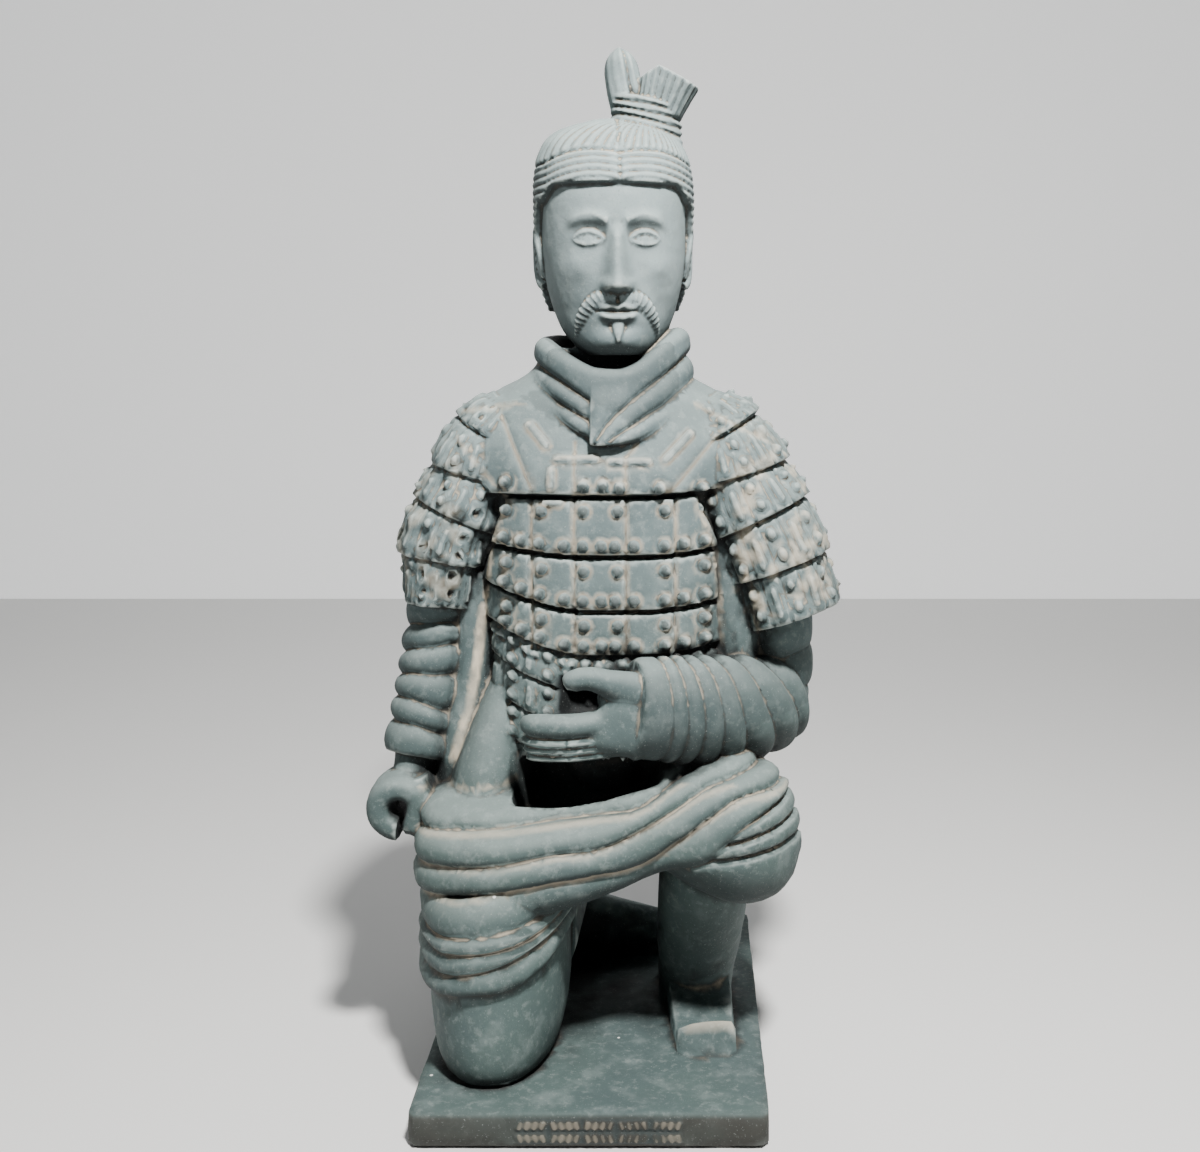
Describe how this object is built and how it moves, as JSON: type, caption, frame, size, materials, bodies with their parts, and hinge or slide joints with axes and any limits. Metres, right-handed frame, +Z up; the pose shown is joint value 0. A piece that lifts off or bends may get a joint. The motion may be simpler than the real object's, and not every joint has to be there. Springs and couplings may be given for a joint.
{
  "type": "kneeling terracotta archer statue",
  "caption": "Kneeling clay archer in lamellar armour with a side topknot and moustache, cast in one with its oblong plinth, blue-grey with pale dust in the folds.",
  "frame": {"origin": "middle of the underside of the plinth, on the surface it stands on", "axes": "+Z up, the figure faces -Y, +X towards its left side with the raised knee"},
  "size_m": [0.5567, 0.562, 1.2048],
  "materials": {
    "clay": "matte blue-grey fired clay, cream dust in the recesses, worn pale edges"
  },
  "bodies": {
    "root": {"kneeling_warrior": "clay"}
  },
  "joints": []
}
